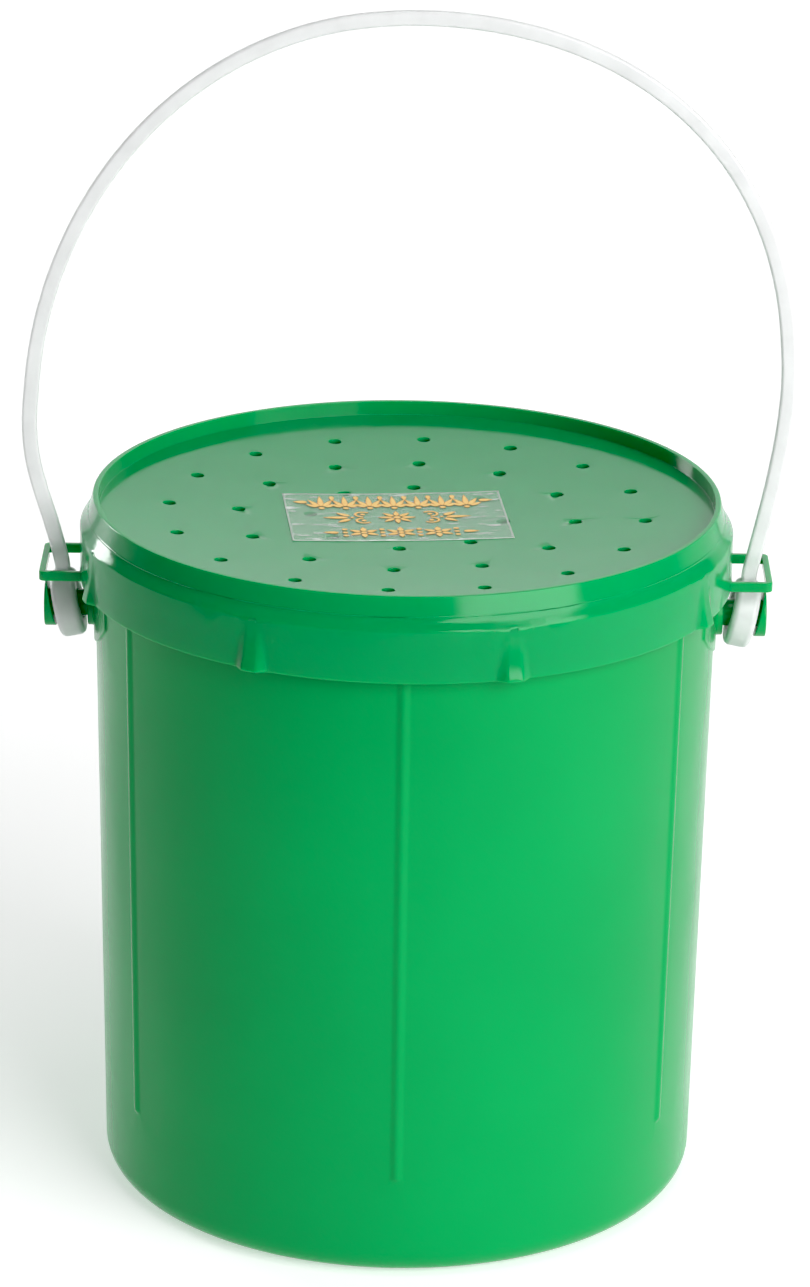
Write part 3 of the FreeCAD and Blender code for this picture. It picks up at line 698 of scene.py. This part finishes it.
def leaf(shape, length, width, place, angle, bend=0.0):
    """Adds a flat pointed leaf that starts at a place and points along an angle."""
    corners = bmesh.ops.create_circle(shape, cap_ends=True, segments=16, radius=1)["verts"]
    for corner in corners:
        along = (corner.co.x + 1) / 2
        side = corner.co.y * 0.65 * width * math.sqrt(1 - min(along, 1))
        corner.co = Vector((along * length, side + bend * along ** 2, 0))
    set_down(shape, corners, place, angle)


def set_down(shape, corners, place, angle=0.0):
    """Turns a flat figure by an angle and moves it to a place."""
    bmesh.ops.rotate(shape, verts=corners, cent=(0, 0, 0), matrix=Matrix.Rotation(angle, 3, "Z"))
    bmesh.ops.translate(shape, verts=corners, vec=(*place, 0))


def bead(shape, radius, place):
    """Adds a round dot."""
    corners = bmesh.ops.create_circle(shape, cap_ends=True, segments=12, radius=radius)["verts"]
    set_down(shape, corners, place)


def flower(shape, petals, radius, place, angle=0.0):
    """Adds petals round a dot."""
    heart = radius * 0.2
    bead(shape, heart, place)
    for petal in range(petals):
        facing = angle + math.tau * petal / petals
        start = Vector(place) + 1.25 * heart * Vector((math.cos(facing), math.sin(facing)))
        leaf(shape, radius - 1.25 * heart, min(radius * 2.4 / petals, radius * 0.5), start, facing)


def fan(shape, height, place):
    """Adds five leaves that open upwards from a dot, the outer ones shorter."""
    bead(shape, height * 0.09, place)
    for step in range(-2, 3):
        facing = math.radians(90 + 26 * step)
        start = Vector(place) + 0.15 * height * Vector((math.cos(facing), math.sin(facing)))
        leaf(shape, height * (0.85 - 0.22 * abs(step)), height * 0.17, start, facing)


def scroll(shape, radius, place, start, turn):
    """Adds a band curled through an angle round a dot."""
    before = set(shape.verts)
    ends = [shape.verts.new((reach, 0, 0)) for reach in (0.68 * radius, radius)]
    bmesh.ops.spin(shape, geom=[*ends, shape.edges.new(ends)], cent=(0, 0, 0), axis=(0, 0, 1),
                   angle=turn, steps=14)
    set_down(shape, [corner for corner in shape.verts if corner not in before], place, start)
    bead(shape, 0.3 * radius, place)


def outlined(shape, width):
    """Turns flat figures face up and gives each a rim in the second material."""
    shape.normal_update()
    bmesh.ops.reverse_faces(shape, faces=[face for face in shape.faces if face.normal.z < 0])
    rim = bmesh.ops.inset_region(shape, faces=shape.faces[:], thickness=width, depth=0,
                                 use_boundary=True, use_even_offset=True)["faces"]
    for face in rim:
        face.material_index = 1


class MakeOrnament(bpy.types.Operator):
    """Print the gold ornament on the film: a flower with scrolls between two rows"""

    bl_idname = "bait_box.make_ornament"
    bl_label = "Gold ornament"

    def execute(self, context):
        sizes = context.scene.ornament_sizes
        film = context.scene.film_sizes

        def ornament(shape):
            self.middle_row(shape, sizes)
            self.back_row(shape, sizes)
            self.front_row(shape, sizes)
            outlined(shape, sizes.outline)
            lay_on_lid(shape, film, film.thickness + sizes.thickness / 2)

        light = gold_ink("gold_ink", (0.95, 0.58, 0.13), (1, 0.72, 0.25))
        piece = new_piece("gold_ornament", ornament, light, "lid")
        piece.data.materials.append(gold_ink("dark_gold_ink", (0.68, 0.28, 0.02), (0.8, 0.38, 0.04)))
        ink = piece.modifiers.new("thickness", "SOLIDIFY")
        ink.thickness = sizes.thickness
        ink.offset = 1
        return {"FINISHED"}

    def middle_row(self, shape, sizes):
        flower(shape, sizes.petals, sizes.flower, (0, 0))
        for side, turned in ((1, 0), (-1, math.pi)):
            for up in (1, -1):
                curl = (side * 1.78 * sizes.flower, up * 0.5 * sizes.flower)
                start = math.radians(-90 * up) if side > 0 else math.radians(180 + 90 * up)
                scroll(shape, 0.46 * sizes.flower, curl, start, math.radians(230 * up * side))
                leaf(shape, 0.85 * sizes.flower, 0.34 * sizes.flower,
                     (side * 2.5 * sizes.flower, up * 0.25 * sizes.flower),
                     turned + side * up * math.radians(38))
            bead(shape, 0.11 * sizes.flower, (side * 2.36 * sizes.flower, 0))
            leaf(shape, 1.3 * sizes.flower, 0.36 * sizes.flower, (side * 2.6 * sizes.flower, 0), turned)

    def back_row(self, shape, sizes):
        height = 2 * sizes.flower * 0.94
        low = sizes.row - height / 2
        for step in range(-3, 4):
            fan(shape, height, (step * sizes.pitch, low))
        for step in range(-3, 3):
            leaf(shape, height * 0.36, height * 0.15, ((step + 0.5) * sizes.pitch, low + height),
                 math.radians(-90))
        for side, turned in ((1, 0), (-1, math.pi)):
            leaf(shape, 0.75 * sizes.flower, 0.4 * sizes.flower, (side * 3.55 * sizes.pitch, sizes.row), turned)

    def front_row(self, shape, sizes):
        radius = 0.85 * sizes.flower
        pitch = 1.95 * sizes.flower
        for step in (-1, 0, 1):
            flower(shape, 6, radius, (step * pitch, -sizes.row), math.radians(90))
        for place in (-1.5, -0.5, 0.5, 1.5):
            for rise in (-1, 0, 1):
                bead(shape, 0.15 * sizes.flower, (place * pitch, -sizes.row + rise * 0.6 * radius))
        for side, turned in ((1, 0), (-1, math.pi)):
            leaf(shape, 0.8 * sizes.flower, 0.36 * sizes.flower, (side * 1.68 * pitch, -sizes.row), turned)


def add_studio_light(name, power, size, place, aim, colour=(1, 1, 1)):
    """A rectangular soft light of a size, at a place, aimed at a point."""
    data = bpy.data.lights.new(name, "AREA")
    data.shape = "RECTANGLE"
    data.size, data.size_y = size
    data.energy = power
    data.color = colour
    light = bpy.data.objects.new(name, data)
    light.location = place
    light.rotation_euler = (Vector(aim) - Vector(place)).to_track_quat("-Z", "Y").to_euler()
    bpy.context.scene.collection.objects.link(light)
    return light


class SetUpStudio(bpy.types.Operator):
    """Set up the camera, the pale floor with its backdrop and the soft lights"""

    bl_idname = "bait_box.set_up_studio"
    bl_label = "Studio"

    def execute(self, context):
        sizes = context.scene.studio_sizes
        self.camera(context, sizes)
        self.floor(sizes)
        middle = (0, 0, 100 * MM)
        add_studio_light("key_light", sizes.key_power, (0.95, 0.9), (0.7, -0.83, 0.6), middle)
        add_studio_light("window_light", sizes.window_power, (0.24, 0.5), (-0.95, 0.8, 0.3), middle)
        add_studio_light("top_light", sizes.top_power, (0.6, 0.6), (0.2, -0.2, 1.3), middle)
        world = bpy.data.worlds.new("studio")
        world.use_nodes = True
        world.node_tree.nodes["Background"].inputs["Color"].default_value = (1, 1, 1, 1)
        world.node_tree.nodes["Background"].inputs["Strength"].default_value = 0.06
        context.scene.world = world
        settings = context.scene.view_settings
        settings.view_transform = "Standard"
        settings.use_curve_mapping = True
        settings.curve_mapping.black_level = (sizes.black_point,) * 3
        settings.curve_mapping.update()
        return {"FINISHED"}

    def camera(self, context, sizes):
        aim = Vector(sizes.aim)
        back = Vector((0, -math.cos(sizes.elevation), math.sin(sizes.elevation)))
        data = bpy.data.cameras.new("camera")
        data.sensor_fit = "VERTICAL"
        data.sensor_height = sizes.sensor
        data.lens = sizes.lens
        camera = bpy.data.objects.new("camera", data)
        facing = (-back).to_track_quat("-Z", "Y").to_matrix().to_4x4()
        camera.matrix_world = (Matrix.Translation(aim + back * sizes.distance) @ facing
                               @ Matrix.Rotation(sizes.roll, 4, "Z"))
        context.scene.collection.objects.link(camera)
        context.scene.camera = camera

    def floor(self, sizes):
        mesh = bpy.data.meshes.new("floor")
        shape = bmesh.new()
        bmesh.ops.create_grid(shape, x_segments=1, y_segments=1, size=3)
        back = [edge for edge in shape.edges if all(corner.co.y > 1 for corner in edge.verts)]
        risen = bmesh.ops.extrude_edge_only(shape, edges=back)["geom"]
        corners = [part for part in risen if isinstance(part, bmesh.types.BMVert)]
        bmesh.ops.translate(shape, vec=(0, 0, 3), verts=corners)
        fold = [edge for edge in shape.edges if all(abs(corner.co.z) < MM and corner.co.y > 1
                                                    for corner in edge.verts)]
        bmesh.ops.bevel(shape, geom=fold, offset=1.2, offset_type="OFFSET", segments=12,
                        profile=0.5, affect="EDGES", material=-1)
        shape.to_mesh(mesh)
        shape.free()
        floor = bpy.data.objects.new("floor", mesh)
        for face in mesh.polygons:
            face.use_smooth = True
        mesh.materials.append(white_stage(sizes.floor_glow, sizes.backdrop_glow))
        bpy.context.scene.collection.objects.link(floor)


class BaitBoxPanel(bpy.types.Panel):
    """Lists the bait box's pieces and their sizes and finishes."""

    bl_idname = "VIEW3D_PT_bait_box"
    bl_label = "Bait box"
    bl_space_type = "VIEW_3D"
    bl_region_type = "UI"
    bl_category = "Bait box"

    def draw(self, context):
        for operator, *groups in STEPS:
            box = self.layout.box()
            box.operator(operator.bl_idname)
            for group in (getattr(context.scene, name) for name in groups):
                for value in group.bl_rna.properties.keys():
                    if value not in ("rna_type", "name"):
                        box.prop(group, value)


STEPS = (
    (FinishPail, "pail_finish", "rib_sizes"),
    (FinishLid, "lid_finish", "flare_sizes"),
    (FinishHandle, "handle_finish"),
    (MakeFilm, "film_sizes"),
    (MakeOrnament, "ornament_sizes"),
    (SetUpStudio, "studio_sizes"),
)
GROUPS = {
    "pail_finish": PailFinish,
    "rib_sizes": RibSizes,
    "lid_finish": LidFinish,
    "flare_sizes": FlareSizes,
    "handle_finish": HandleFinish,
    "film_sizes": FilmSizes,
    "ornament_sizes": OrnamentSizes,
    "studio_sizes": StudioSizes,
}


def register():
    for name, group in GROUPS.items():
        bpy.utils.register_class(group)
        setattr(bpy.types.Scene, name, PointerProperty(type=group))
    for operator, *_ in STEPS:
        bpy.utils.register_class(operator)
    bpy.utils.register_class(BaitBoxPanel)


def unregister():
    bpy.utils.unregister_class(BaitBoxPanel)
    for operator, *_ in reversed(STEPS):
        bpy.utils.unregister_class(operator)
    for name, group in reversed(GROUPS.items()):
        delattr(bpy.types.Scene, name)
        bpy.utils.unregister_class(group)


def main():
    register()
    bpy.ops.bait_box.finish_pail()
    bpy.ops.bait_box.finish_lid()
    bpy.ops.bait_box.finish_handle()
    bpy.ops.bait_box.make_film()
    bpy.ops.bait_box.make_ornament()
    bpy.ops.bait_box.set_up_studio()


if __name__ == "__main__":
    main()
